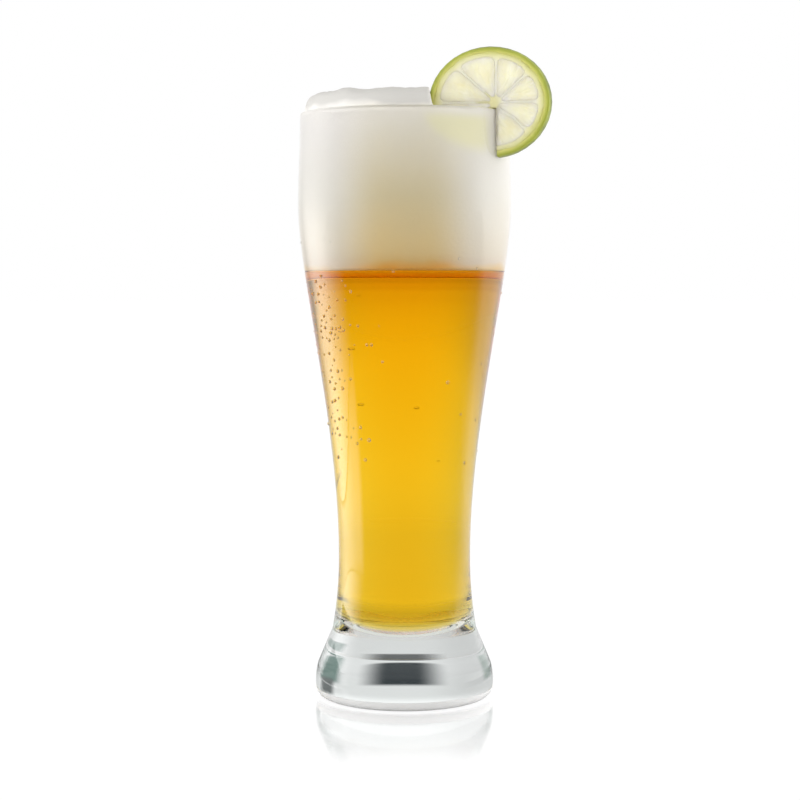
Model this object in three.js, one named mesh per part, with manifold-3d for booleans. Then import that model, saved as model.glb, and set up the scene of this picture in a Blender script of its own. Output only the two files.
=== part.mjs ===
// A tall wheat-beer glass, filled with beer under a head of foam, with a slice of lime on its rim.
// Millimetres, +Z up. The origin is on the glass's axis, in the plane that the foot stands on.
// The viewer's side is -Y, and the lime sits on the right, at +X.

import * as THREE from 'three';
import { mergeVertices } from 'three/addons/utils/BufferGeometryUtils.js';
import Module from 'manifold-3d';

// Glass: overall height, the heights of the foot's stages one above the other, and the belly's
// distance down from the rim
const GLASS_HEIGHT = 204.5;
const BULGE_HEIGHT = 5.5;
const BAND_RISE = 6;
const CONE_RISE = 12.5;
const NECK_RISE = 26;
const BELLY_BELOW_RIM = 32.5;

// Glass: outside radii
const STANDING_RADIUS = 27.5;
const BULGE_RADIUS = 31.4;
const BAND_RADIUS = 30.6;
const ANKLE_RADIUS = 25.4;
const NECK_RADIUS = 23.2;
const BELLY_RADIUS = 37.2;
const RIM_RADIUS = 36.5;

// Glass: wall thickness, the solid base under the drink, and the rise of its round floor
const RIM_WALL = 1.8;
const BELLY_WALL = 2.2;
const NECK_WALL = 2.8;
const BASE_THICKNESS = 21;
const BOWL_DEPTH = 11.5;

// Foam: its depth below the rim, its crown above the rim, and the film it leaves in front of the lime
const HEAD_DEPTH = 54.5;
const CROWN_HEIGHT = 6.8;
const CROWN_SHOULDER = 5;
const CROWN_DOME = 0.6;
const FILM_THICKNESS = 1.2;
const FILM_BELOW_RIM = 1.5;

// Slice of lime: it is drawn round, and then brought to its height, because the fruit is a little oval
const LIME_WIDTH = 42;
const LIME_HEIGHT = 37.6;
const LIME_THICKNESS = 4.6;
const RIND = 2;
const RIND_BULGE = 0.6;
const PITH = 1.6;
const MEMBRANE = 0.7;
const CORE_RADIUS = 2.1;
const CORE_SHIFT = 2.4;
const CORE_ABOVE_RIM = 2.2;
const SEGMENT_CORNER = 2.4;
const SEGMENT_COUNT = 8;

// The slice sits on the rim at this bearing from +X towards the viewer, and its outer end is turned
// this far towards the viewer
const LIME_BEARING = THREE.MathUtils.degToRad(28);
const LIME_TURN = THREE.MathUtils.degToRad(12);

// Gap between pieces that touch, and how far a cut runs past the faces that it goes through
const CLEARANCE = 0.3;
const OVERCUT = 20;

// Handles of the glass's curves, as shares of the run that each one shapes
const NECK_HANDLE = 0.35;
const TAPER_LOW_HANDLE = 0.37;
const TAPER_HIGH_HANDLE = 0.19;
const DRAW_HANDLE = 0.4;
const BOWL_HANDLE = 0.62;

// Facets
const GLASS_SIDES = 48;
const LIME_SIDES = 40;
const CURVE_STEPS = 6;
const LIP_STEPS = 3;

const bandHeight = BULGE_HEIGHT + BAND_RISE;
const ankleHeight = bandHeight + CONE_RISE;
const neckHeight = ankleHeight + NECK_RISE;
const bellyHeight = GLASS_HEIGHT - BELLY_BELOW_RIM;
const lipHeight = GLASS_HEIGHT - RIM_WALL / 2;
const beerLevel = GLASS_HEIGHT - HEAD_DEPTH;
const crownTop = GLASS_HEIGHT + CROWN_HEIGHT;

const wasm = await Module();
wasm.setup();

// A closed geometry as a solid that can be cut, and a solid as a geometry again
function solidOf(geometry) {
  const bare = geometry.clone();
  bare.deleteAttribute('normal');
  bare.deleteAttribute('uv');
  const merged = mergeVertices(bare);
  const mesh = new wasm.Mesh({
    numProp: 3,
    vertProperties: merged.attributes.position.array,
    triVerts: new Uint32Array(merged.index.array),
  });
  mesh.merge();
  return new wasm.Manifold(mesh);
}

function geometryOf(solid) {
  const mesh = solid.getMesh();
  const geometry = new THREE.BufferGeometry();
  geometry.setAttribute('position', new THREE.BufferAttribute(mesh.vertProperties, mesh.numProp));
  geometry.setIndex(new THREE.BufferAttribute(mesh.triVerts, 1));
  return geometry;
}

// A profile of (radius, height) points turned round the Z axis
function turned(profile) {
  const geometry = new THREE.LatheGeometry(profile, GLASS_SIDES);
  geometry.rotateX(Math.PI / 2);
  return geometry;
}

function piece(name, geometry, look) {
  const mesh = new THREE.Mesh(geometry, new THREE.MeshStandardMaterial(look));
  mesh.name = name;
  return mesh;
}

// The long taper from neck to belly, and the gentle draw from belly to rim, shape the outside and
// the inside of the wall alike
function addTaper(path, neckRadius, bellyRadius) {
  const run = bellyHeight - neckHeight;
  path.bezierCurveTo(
    neckRadius, neckHeight + run * TAPER_LOW_HANDLE,
    bellyRadius, bellyHeight - run * TAPER_HIGH_HANDLE,
    bellyRadius, bellyHeight,
  );
}

function addDraw(path, bellyRadius, rimRadius) {
  const run = lipHeight - bellyHeight;
  path.bezierCurveTo(
    bellyRadius, bellyHeight + run * DRAW_HANDLE,
    rimRadius, lipHeight - run * DRAW_HANDLE,
    rimRadius, lipHeight,
  );
}

// Outside of the glass: flat underside, rounded foot band, cone, neck, taper, belly and rim
function outsideLine() {
  const path = new THREE.Path();
  path.moveTo(0, 0);
  path.lineTo(STANDING_RADIUS, 0);
  path.quadraticCurveTo(BULGE_RADIUS, 0, BULGE_RADIUS, BULGE_HEIGHT);
  path.quadraticCurveTo(BULGE_RADIUS, BULGE_HEIGHT + BAND_RISE / 2, BAND_RADIUS, bandHeight);
  path.lineTo(ANKLE_RADIUS, ankleHeight);
  const flare = THREE.MathUtils.lerp(ANKLE_RADIUS, NECK_RADIUS, 2 * NECK_HANDLE);
  path.bezierCurveTo(
    flare, ankleHeight + NECK_RISE * NECK_HANDLE,
    NECK_RADIUS, neckHeight - NECK_RISE * NECK_HANDLE,
    NECK_RADIUS, neckHeight,
  );
  addTaper(path, NECK_RADIUS, BELLY_RADIUS);
  addDraw(path, BELLY_RADIUS, RIM_RADIUS);
  return path.getPoints(CURVE_STEPS);
}

// Inside of the glass, from the middle of its round floor up to the lip
function insideLine() {
  const neckRadius = NECK_RADIUS - NECK_WALL;
  const bowlTop = BASE_THICKNESS + BOWL_DEPTH;
  const path = new THREE.Path();
  path.moveTo(0, BASE_THICKNESS);
  path.bezierCurveTo(
    neckRadius * BOWL_HANDLE, BASE_THICKNESS,
    neckRadius, bowlTop - BOWL_DEPTH * BOWL_HANDLE,
    neckRadius, bowlTop,
  );
  path.lineTo(neckRadius, neckHeight);
  addTaper(path, neckRadius, BELLY_RADIUS - BELLY_WALL);
  addDraw(path, BELLY_RADIUS - BELLY_WALL, RIM_RADIUS - RIM_WALL);
  return path.getPoints(CURVE_STEPS);
}

// A line that starts on the axis, moved inwards square to itself
function inset(line, distance) {
  return line.map((point, index) => {
    if (point.x === 0) return new THREE.Vector2(0, point.y + distance);
    const before = line[index - 1];
    const after = line[index + 1] ?? point;
    const along = after.clone().sub(before).normalize();
    return new THREE.Vector2(point.x - along.y * distance, point.y + along.x * distance);
  });
}

// The radius of a rising line at a height, and the stretch of it between two heights
function radiusAt(line, height) {
  const above = line.findIndex((point) => point.y >= height);
  const next = above < 0 ? line.length - 1 : Math.max(above, 1);
  const low = line[next - 1];
  const high = line[next];
  return THREE.MathUtils.mapLinear(height, low.y, high.y, low.x, high.x);
}

function stretch(line, low, high) {
  return [
    new THREE.Vector2(radiusAt(line, low), low),
    ...line.filter((point) => point.y > low && point.y < high),
    new THREE.Vector2(radiusAt(line, high), high),
  ];
}

const outside = outsideLine();
const inside = insideLine();
const fill = inset(inside, CLEARANCE);

function glassBody() {
  const lip = new THREE.Path();
  lip.absarc(RIM_RADIUS - RIM_WALL / 2, lipHeight, RIM_WALL / 2, 0, Math.PI);
  const lipTop = lip.getPoints(LIP_STEPS).slice(1, -1);
  return turned([...outside, ...lipTop, ...inside.toReversed()]);
}

function beer() {
  const [floor, ...wall] = stretch(fill, fill[0].y, beerLevel);
  return turned([floor, ...wall, new THREE.Vector2(0, beerLevel)]);
}

// The slice's own frame: X along the slice and outwards, Y square to it and away from the viewer.
// Its core stands over the middle of the rim's wall.
const slice = new THREE.Group();
const seatRadius = RIM_RADIUS - RIM_WALL / 2;
slice.rotation.z = -LIME_TURN;
slice.position.set(
  seatRadius * Math.cos(LIME_BEARING) - CORE_SHIFT * Math.cos(LIME_TURN),
  -seatRadius * Math.sin(LIME_BEARING) + CORE_SHIFT * Math.sin(LIME_TURN),
  GLASS_HEIGHT + CORE_ABOVE_RIM,
);
slice.updateMatrixWorld(true);
const limeBottom = slice.position.z - LIME_HEIGHT / 2;

// A flat outline in the slice's plane, as thick as asked, with its far face at a given depth
function slab(outline, thickness, farFace, holes = []) {
  const shape = new THREE.Shape(outline.getPoints(CURVE_STEPS));
  shape.holes = holes;
  const geometry = new THREE.ExtrudeGeometry(shape, { depth: thickness, bevelEnabled: false });
  geometry.rotateX(Math.PI / 2);
  geometry.translate(0, farFace, 0);
  return geometry;
}

// The room that the slice sweeps as it is lifted, from one depth in its own frame to another
function liftRoom(near, far) {
  const halfWidth = LIME_WIDTH / 2 + CLEARANCE;
  const halfHeight = LIME_HEIGHT / 2 + CLEARANCE;
  const top = crownTop + OVERCUT - slice.position.z;
  const outline = new THREE.Path();
  outline.moveTo(-halfWidth, top);
  outline.lineTo(-halfWidth, 0);
  outline.absellipse(0, 0, halfWidth, halfHeight, Math.PI, 2 * Math.PI);
  outline.lineTo(halfWidth, top);
  return solidOf(slab(outline, far - near, far).applyMatrix4(slice.matrixWorld));
}

// Foam: it fills the glass above the beer and stands proud of the rim. The slice has been pushed
// down into it, so it has a pocket for the slice, open at the top. In front of the slice only a thin
// film is left on the glass.
function foamHead() {
  const bottom = beerLevel + CLEARANCE;
  const wall = stretch(fill, bottom, lipHeight);
  const crownRadius = wall.at(-1).x;
  const shoulderTop = crownTop - CROWN_DOME;
  const crown = new THREE.Path();
  crown.moveTo(crownRadius, lipHeight);
  crown.quadraticCurveTo(crownRadius, shoulderTop, crownRadius - CROWN_SHOULDER, shoulderTop);
  crown.quadraticCurveTo(crownRadius / 2, crownTop, 0, crownTop);
  const crownLine = crown.getPoints(CURVE_STEPS).slice(1);
  const whole = solidOf(turned([new THREE.Vector2(0, bottom), ...wall, ...crownLine]));

  const filmTop = GLASS_HEIGHT - FILM_BELOW_RIM;
  const past = BELLY_RADIUS + OVERCUT;
  const withinFilm = solidOf(turned([
    new THREE.Vector2(0, bottom),
    ...stretch(inset(fill, FILM_THICKNESS), bottom, filmTop),
    new THREE.Vector2(past, filmTop),
    new THREE.Vector2(past, crownTop + OVERCUT),
    new THREE.Vector2(0, crownTop + OVERCUT),
  ]));

  const halfPocket = LIME_THICKNESS / 2 + CLEARANCE;
  const hollow = liftRoom(-2 * BELLY_RADIUS, 0).intersect(withinFilm);
  return geometryOf(whole.subtract(liftRoom(-halfPocket, halfPocket)).subtract(hollow));
}

// The slot in the slice takes the wall of the glass. At each height it clears all of the wall above that
// height, because the slice is lifted past it, and it ends above the tips of the chambers beside it.
function slotCutter() {
  const halfLength = LIME_THICKNESS;
  const bow = halfLength ** 2 / (2 * RIM_RADIUS);
  const tips = chamber(0, CLEARANCE).getPoints(CURVE_STEPS).map((point) => point.y);
  const tipHeight = slice.position.z + (Math.max(...tips) * LIME_HEIGHT) / LIME_WIDTH;
  const top = Math.max(GLASS_HEIGHT, tipHeight) + CLEARANCE;
  const bottom = limeBottom - OVERCUT;

  // One side of the slot, from the lip downwards
  const side = (line, farther, past) => {
    let reach = radiusAt(line, lipHeight);
    const points = stretch(line, limeBottom, lipHeight).reverse().map((point) => {
      reach = farther(reach, point.x);
      return new THREE.Vector2(reach + past, point.y);
    });
    const low = points.at(-1).x;
    return [new THREE.Vector2(points[0].x, top), ...points, new THREE.Vector2(low, bottom)];
  };

  const outer = side(outside, Math.max, CLEARANCE);
  const inner = side(inside, Math.min, -bow - CLEARANCE);
  const cutter = slab(new THREE.Path([...outer, ...inner.reverse()]), 2 * halfLength, halfLength);
  cutter.rotateZ(-LIME_BEARING);
  return solidOf(cutter.applyMatrix4(slice.matrixWorld.clone().invert()));
}

const peelInner = LIME_WIDTH / 2 - RIND;
const pithOuter = peelInner - CLEARANCE;
const slot = slotCutter();

// A piece of the round slice brought to the fruit's oval, and slotted
function limePiece(geometry) {
  geometry.scale(1, 1, LIME_HEIGHT / LIME_WIDTH);
  return geometryOf(solidOf(geometry).subtract(slot));
}

// Peel: a ring that bulges at the middle of its thickness
function limeRind() {
  const widest = LIME_WIDTH / 2;
  const half = LIME_THICKNESS / 2;
  const ring = new THREE.Path();
  ring.moveTo(peelInner, -half);
  ring.lineTo(widest - RIND_BULGE, -half);
  ring.quadraticCurveTo(widest + RIND_BULGE, 0, widest - RIND_BULGE, half);
  ring.lineTo(peelInner, half);
  ring.lineTo(peelInner, -half);
  return limePiece(new THREE.LatheGeometry(ring.getPoints(CURVE_STEPS), LIME_SIDES));
}

// One chamber between two membranes, held in from its walls by a gap. The first membrane points
// straight down, where the slot is, and the core isn't quite in the middle of the slice.
function chamber(index, gap) {
  const step = (2 * Math.PI) / SEGMENT_COUNT;
  const radius = pithOuter - PITH - gap;
  const offset = MEMBRANE / 2 + gap;
  const tip = Math.max(CORE_RADIUS + gap, MEMBRANE + offset / Math.tan(step / 2));

  // One side runs out from the core beside its membrane, and is rounded off where it meets the ring
  const side = (angle, turn) => {
    const along = new THREE.Vector2(Math.cos(angle), Math.sin(angle));
    const start = new THREE.Vector2(CORE_SHIFT - turn * offset * along.y, turn * offset * along.x);
    const across = start.dot(along);
    const length = Math.sqrt(across ** 2 - start.lengthSq() + radius ** 2) - across;
    const at = (distance) => start.clone().addScaledVector(along, distance);
    const corner = at(length);
    return {
      tip: at(tip),
      end: at(length - SEGMENT_CORNER),
      corner,
      ringAngle: corner.angle() + (turn * SEGMENT_CORNER) / radius,
    };
  };

  const start = -Math.PI / 2 + index * step;
  const first = side(start, 1);
  const last = side(start + step, -1);
  const fullTurn = 2 * Math.PI;
  const sweep = THREE.MathUtils.euclideanModulo(last.ringAngle - first.ringAngle, fullTurn);
  const ringStart = new THREE.Vector2(radius, 0).rotateAround(new THREE.Vector2(), first.ringAngle);
  const outline = new THREE.Path();
  outline.moveTo(first.tip.x, first.tip.y);
  outline.lineTo(first.end.x, first.end.y);
  outline.quadraticCurveTo(first.corner.x, first.corner.y, ringStart.x, ringStart.y);
  outline.absarc(0, 0, radius, first.ringAngle, first.ringAngle + sweep);
  outline.quadraticCurveTo(last.corner.x, last.corner.y, last.end.x, last.end.y);
  outline.lineTo(last.tip.x, last.tip.y);
  return outline;
}

// Pith: the ring under the peel, the membranes and the core, with the chambers left open
function limePith() {
  const ring = new THREE.Path();
  ring.absarc(0, 0, pithOuter, 0, 2 * Math.PI);
  const holes = [];
  for (let index = 0; index < SEGMENT_COUNT; index += 1) {
    holes.push(new THREE.Path(chamber(index, 0).getPoints(CURVE_STEPS)));
  }
  return limePiece(slab(ring, LIME_THICKNESS, LIME_THICKNESS / 2, holes));
}

function limeSegment(index) {
  return limePiece(slab(chamber(index, CLEARANCE), LIME_THICKNESS, LIME_THICKNESS / 2));
}

const beerGlass = new THREE.Group();
beerGlass.add(
  piece('glass_body', glassBody(), { color: '#e6efec', roughness: 0.03, metalness: 0 }),
  piece('beer', beer(), { color: '#eeaa0a', roughness: 0.05, metalness: 0 }),
  piece('foam_head', foamHead(), { color: '#dcd6c8', roughness: 0.9, metalness: 0 }),
  slice,
);
slice.add(
  piece('lime_rind', limeRind(), { color: '#8fae1f', roughness: 0.4, metalness: 0 }),
  piece('lime_pith', limePith(), { color: '#e9edc2', roughness: 0.6, metalness: 0 }),
);
for (let index = 0; index < SEGMENT_COUNT; index += 1) {
  const look = { color: '#e0e6a0', roughness: 0.3, metalness: 0 };
  slice.add(piece(`lime_segment_${index + 1}`, limeSegment(index), look));
}

export default beerGlass;
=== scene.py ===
# %% [markdown]
# # A tall glass of wheat beer with a slice of lime
# This lesson dresses a measured model of a filled beer glass: clear glass, amber beer, a head of foam,
# dew on the outside, and a slice of lime on the rim. The measured model comes first, because every
# piece made here takes its place from it.

# %% Load the measured model
import math

import bmesh
import bpy
import numpy as np
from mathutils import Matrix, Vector, noise


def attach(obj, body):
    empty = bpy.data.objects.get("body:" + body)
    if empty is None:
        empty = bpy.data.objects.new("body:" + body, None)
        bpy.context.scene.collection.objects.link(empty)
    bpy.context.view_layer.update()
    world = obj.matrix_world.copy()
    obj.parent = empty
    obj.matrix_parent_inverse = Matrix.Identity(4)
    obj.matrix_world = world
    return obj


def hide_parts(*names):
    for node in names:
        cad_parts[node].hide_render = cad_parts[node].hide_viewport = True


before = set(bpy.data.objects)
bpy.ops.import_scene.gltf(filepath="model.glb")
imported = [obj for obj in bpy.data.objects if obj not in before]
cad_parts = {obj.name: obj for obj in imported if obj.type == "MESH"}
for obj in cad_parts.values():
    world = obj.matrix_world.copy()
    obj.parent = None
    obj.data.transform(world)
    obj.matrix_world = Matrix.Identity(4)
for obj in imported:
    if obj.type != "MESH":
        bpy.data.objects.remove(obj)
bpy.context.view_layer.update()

MM = 0.001
print("nodes:", ", ".join(sorted(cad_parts)))

# %% [markdown]
# ## The line that the glass is turned from
# A blown glass is round, so half of its cross-section says everything about its shape. The line could
# be drawn by hand in the curve editor. Here it is a chain of short Bezier curves with named sizes, so
# that the foot, the waist and the belly can each be changed without redrawing the others.

# %% Sizes of the glass
GLASS_HEIGHT = 204.5 * MM
BULGE_HEIGHT = 5.5 * MM
BAND_HEIGHT = 11.5 * MM
ANKLE_HEIGHT = 24 * MM
NECK_HEIGHT = 50 * MM
BELLY_HEIGHT = 172 * MM

STANDING_RADIUS = 27.5 * MM
BULGE_RADIUS = 31.4 * MM
BAND_RADIUS = 30.6 * MM
ANKLE_RADIUS = 25.4 * MM
NECK_RADIUS = 23.2 * MM
BELLY_RADIUS = 37.2 * MM
RIM_RADIUS = 36.5 * MM

RIM_WALL = 1.8 * MM
BELLY_WALL = 2.2 * MM
NECK_WALL = 2.8 * MM
BASE_THICKNESS = 21 * MM
BOWL_DEPTH = 11.5 * MM

NECK_HANDLE = 0.35
TAPER_LOW_HANDLE = 0.37
TAPER_HIGH_HANDLE = 0.19
DRAW_HANDLE = 0.4
BOWL_HANDLE = 0.62

LIP_HEIGHT = GLASS_HEIGHT - RIM_WALL / 2
CURVE_STEPS = 24
print("glass is", round(GLASS_HEIGHT / MM), "mm tall and", round(2 * BELLY_RADIUS / MM, 1), "mm wide")


# %% Bezier pieces of the line
def bend(*handles, steps=CURVE_STEPS):
    """Points of a Bezier curve with any number of handles, without its first point."""
    points = []
    for step in range(1, steps + 1):
        row = [Vector(handle) for handle in handles]
        while len(row) > 1:
            row = [first.lerp(second, step / steps) for first, second in zip(row, row[1:])]
        points.append(tuple(row[0]))
    return points


def taper(neck_radius, belly_radius):
    """From the neck up to the belly."""
    run = BELLY_HEIGHT - NECK_HEIGHT
    low = (neck_radius, NECK_HEIGHT + run * TAPER_LOW_HANDLE)
    high = (belly_radius, BELLY_HEIGHT - run * TAPER_HIGH_HANDLE)
    return bend((neck_radius, NECK_HEIGHT), low, high, (belly_radius, BELLY_HEIGHT))


def draw_in(belly_radius, rim_radius):
    """From the belly up to the lip."""
    run = LIP_HEIGHT - BELLY_HEIGHT
    low = (belly_radius, BELLY_HEIGHT + run * DRAW_HANDLE)
    high = (rim_radius, LIP_HEIGHT - run * DRAW_HANDLE)
    return bend((belly_radius, BELLY_HEIGHT), low, high, (rim_radius, LIP_HEIGHT))


def outside_line():
    line = [(0, 0)]
    line += bend(line[-1], (STANDING_RADIUS, 0))
    line += bend(line[-1], (BULGE_RADIUS, 0), (BULGE_RADIUS, BULGE_HEIGHT))
    shoulder = (BULGE_RADIUS, (BULGE_HEIGHT + BAND_HEIGHT) / 2)
    line += bend(line[-1], shoulder, (BAND_RADIUS, BAND_HEIGHT))
    line += bend(line[-1], (ANKLE_RADIUS, ANKLE_HEIGHT))
    rise = NECK_HEIGHT - ANKLE_HEIGHT
    flare = ANKLE_RADIUS + (NECK_RADIUS - ANKLE_RADIUS) * 2 * NECK_HANDLE
    low = (flare, ANKLE_HEIGHT + rise * NECK_HANDLE)
    high = (NECK_RADIUS, NECK_HEIGHT - rise * NECK_HANDLE)
    line += bend(line[-1], low, high, (NECK_RADIUS, NECK_HEIGHT))
    return line + taper(NECK_RADIUS, BELLY_RADIUS) + draw_in(BELLY_RADIUS, RIM_RADIUS)


def inside_line():
    neck_inside = NECK_RADIUS - NECK_WALL
    belly_inside = BELLY_RADIUS - BELLY_WALL
    bowl_top = BASE_THICKNESS + BOWL_DEPTH
    line = [(0, BASE_THICKNESS)]
    low = (neck_inside * BOWL_HANDLE, BASE_THICKNESS)
    high = (neck_inside, bowl_top - BOWL_DEPTH * BOWL_HANDLE)
    line += bend(line[-1], low, high, (neck_inside, bowl_top))
    line += bend(line[-1], (neck_inside, NECK_HEIGHT))
    return line + taper(neck_inside, belly_inside) + draw_in(belly_inside, RIM_RADIUS - RIM_WALL)


outside = outside_line()
inside = inside_line()
print(len(outside), "points outside and", len(inside), "inside")

# %% [markdown]
# ## A tree that turns a line
# Spinning a line round an axis is one rule, and the glass and the beer both follow it. The Spin tool
# would do it by hand. A Geometry Nodes tree does it with named inputs: it sweeps the line round a
# circle, welds the points that meet on the axis, and sets the material.


# %% Small helpers for node trees
def feed(tree, made, values):
    """Links or sets a node's inputs."""
    for socket, value in values.items():
        if isinstance(value, bpy.types.NodeSocket):
            tree.links.new(value, made.inputs[socket])
        else:
            made.inputs[socket].default_value = value


def node(tree, kind, feeds=None, **settings):
    """A new node with its settings and its inputs."""
    made = tree.nodes.new(kind)
    for name, value in settings.items():
        setattr(made, name, value)
    feed(tree, made, feeds or {})
    return made


def geometry_tree(name, inputs):
    """An empty tree with geometry in and out, and the identifiers of its other inputs by name."""
    tree = bpy.data.node_groups.new(name, "GeometryNodeTree")
    tree.interface.new_socket("Geometry", in_out="INPUT", socket_type="NodeSocketGeometry")
    names = {}
    for label, kind in inputs.items():
        socket = tree.interface.new_socket(label, in_out="INPUT", socket_type="NodeSocket" + kind)
        names[label] = socket.identifier
    tree.interface.new_socket("Geometry", in_out="OUTPUT", socket_type="NodeSocketGeometry")
    return tree, names


def finish_tree(tree, geometry, material):
    """Every tree ends in real faces with a material, because instances don't survive an export."""
    real = node(tree, "GeometryNodeRealizeInstances", {"Geometry": geometry})
    smooth = node(tree, "GeometryNodeSetShadeSmooth", {"Geometry": real.outputs["Geometry"]})
    feeds = {"Geometry": smooth.outputs["Geometry"], "Material": material}
    painted = node(tree, "GeometryNodeSetMaterial", feeds)
    node(tree, "NodeGroupOutput", {"Geometry": painted.outputs["Geometry"]})


# %% Small helpers for meshes
def placed(name, mesh):
    """A new object at the origin, whose place is in its mesh."""
    piece = bpy.data.objects.new(name, mesh)
    bpy.context.scene.collection.objects.link(piece)
    return piece


def plain_mesh(piece):
    """The object's mesh with its modifiers carried out, and no modifier left on it."""
    graph = bpy.context.evaluated_depsgraph_get()
    mesh = bpy.data.meshes.new_from_object(piece.evaluated_get(graph))
    old = piece.data
    piece.modifiers.clear()
    piece.data = mesh
    mesh.name = piece.name
    bpy.data.meshes.remove(old)
    return piece


def grown(name, mesh, tree, names, values):
    """An object made by a tree: its inputs are set before it is first evaluated."""
    piece = placed(name, mesh)
    modifier = piece.modifiers.new("Tree", "NODES")
    modifier.node_group = tree
    for label, value in values.items():
        modifier[names[label]] = value
    plain_mesh(piece)
    print(name, "has", len(piece.data.polygons), "faces")
    return piece


# %% The turning tree
WELD = 0.001 * MM
PATH_RADIUS = 1.0
GLASS_SIDES = 192

turning, turning_names = geometry_tree(
    "Turned line", {"Path Radius": "Float", "Sides": "Int", "Material": "Material"}
)
turning_in = node(turning, "NodeGroupInput").outputs
line_curve = node(turning, "GeometryNodeMeshToCurve", {"Mesh": turning_in["Geometry"]})
path_feeds = {"Resolution": turning_in["Sides"], "Radius": turning_in["Path Radius"]}
path = node(turning, "GeometryNodeCurvePrimitiveCircle", path_feeds)
level_path = node(turning, "GeometryNodeSetCurveNormal", {"Curve": path.outputs["Curve"]}, mode="Z_UP")
sweep_feeds = {"Curve": level_path.outputs["Curve"], "Profile Curve": line_curve.outputs["Curve"]}
sweep = node(turning, "GeometryNodeCurveToMesh", sweep_feeds)
weld_feeds = {"Geometry": sweep.outputs["Mesh"], "Distance": WELD}
weld = node(turning, "GeometryNodeMergeByDistance", weld_feeds)
facing_out = node(turning, "GeometryNodeFlipFaces", {"Mesh": weld.outputs["Geometry"]})
finish_tree(turning, facing_out.outputs["Mesh"], turning_in["Material"])
print("turning tree has", len(turning.nodes), "nodes")


def turned(name, line, material):
    """A solid turned from a line of (radius, height) points."""
    mesh = bpy.data.meshes.new(name)
    points = [(radius - PATH_RADIUS, -height, 0) for radius, height in line]
    mesh.from_pydata(points, [(index, index + 1) for index in range(len(points) - 1)], [])
    values = {"Path Radius": PATH_RADIUS, "Sides": GLASS_SIDES, "Material": material}
    return grown(name, mesh, turning, turning_names, values)


# %% [markdown]
# ## Effects that several finishes share
# The stippled ring, the foam and all parts of the lime are a little uneven in colour or relief. Each
# material could build that anew. Here it is one shader group with named inputs, placed in each material
# with its own values, so a change is made once.


# %% The mottle group
def reckon(tree, operation, *values, **settings):
    """The result of a Math node."""
    feeds = dict(enumerate(values))
    return node(tree, "ShaderNodeMath", feeds, operation=operation, **settings).outputs[0]


def shader_group(name, inputs, outputs):
    """An empty shader group with its named sockets."""
    tree = bpy.data.node_groups.new(name, "ShaderNodeTree")
    for label, value in inputs.items():
        socket = tree.interface.new_socket(label, in_out="INPUT", socket_type="NodeSocketFloat")
        socket.default_value = value
    for label in outputs:
        tree.interface.new_socket(label, in_out="OUTPUT", socket_type="NodeSocketFloat")
    return tree


def object_place(tree):
    """The place of a shaded point in its object."""
    return node(tree, "ShaderNodeTexCoord").outputs["Object"]


mottle = shader_group("Mottle", {"Scale": 100.0, "Fine": 4.0}, ["Cloud", "Grain"])
mottle_in = node(mottle, "NodeGroupInput").outputs
mottle_place = object_place(mottle)
fine_scale = reckon(mottle, "MULTIPLY", mottle_in["Scale"], mottle_in["Fine"])
cloud = node(mottle, "ShaderNodeTexNoise", {"Vector": mottle_place, "Scale": mottle_in["Scale"]})
grain = node(mottle, "ShaderNodeTexNoise", {"Vector": mottle_place, "Scale": fine_scale})
node(mottle, "NodeGroupOutput", {"Cloud": cloud.outputs["Fac"], "Grain": grain.outputs["Fac"]})
print("mottle group has", len(mottle.nodes), "nodes")

# %% [markdown]
# ## Clear glass
# Soda-lime glass is colourless in a thin wall and a little green where light runs a long way through it,
# as at the edges of the heavy foot. A tinted surface would colour the wall as much as the foot. A
# faint absorption inside colours only the long ways, as real glass does. The foot is a little hollow
# underneath. Where the drink wets the wall, light crosses almost without a reflection, so the finish
# drops its gloss there, except for light so slanting that glass turns all of it back inside.

# %% Helpers for clear finishes
WHITE = (1.0, 1.0, 1.0, 1.0)
BLACK = (0.0, 0.0, 0.0, 1.0)


def material_named(name):
    """A new material, its tree and its Principled shader."""
    material = bpy.data.materials.new(name)
    material.use_nodes = True
    tree = material.node_tree
    return material, tree, tree.nodes["Principled BSDF"]


def ramp(tree, factor, stops):
    """Colours along a value, as (place, colour) stops."""
    made = node(tree, "ShaderNodeValToRGB", {"Fac": factor})
    elements = made.color_ramp.elements
    while len(elements) < len(stops):
        elements.new(1.0)
    for element, (place, colour) in zip(elements, stops):
        element.position = place
        element.color = (*colour[:3], 1.0)
    return made.outputs["Color"]


def painted_value(tree, name):
    """A value that the mesh carries."""
    return node(tree, "ShaderNodeAttribute", attribute_name=name).outputs["Fac"]


def product(tree, *values):
    """Values multiplied with each other."""
    result = values[0]
    for value in values[1:]:
        result = reckon(tree, "MULTIPLY", result, value)
    return result


def clear_finish(tree, shader, ior, colour=WHITE, gloss=WHITE):
    """A smooth finish that light goes through."""
    feed(tree, shader, {
        "Base Color": colour,
        "Roughness": 0.0,
        "IOR": ior,
        "Specular Tint": gloss,
        "Transmission Weight": 1.0,
    })


def absorbing(tree, colour, density):
    """Colour that deepens with the distance that light travels inside."""
    volume = node(tree, "ShaderNodeVolumeAbsorption", {"Color": (*colour, 1.0), "Density": density})
    tree.links.new(volume.outputs["Volume"], tree.nodes["Material Output"].inputs["Volume"])


# %% Glass finish
GLASS_IOR = 1.5
GLASS_TINT = (0.86, 0.95, 0.92)
GLASS_DENSITY = 6.0

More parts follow.
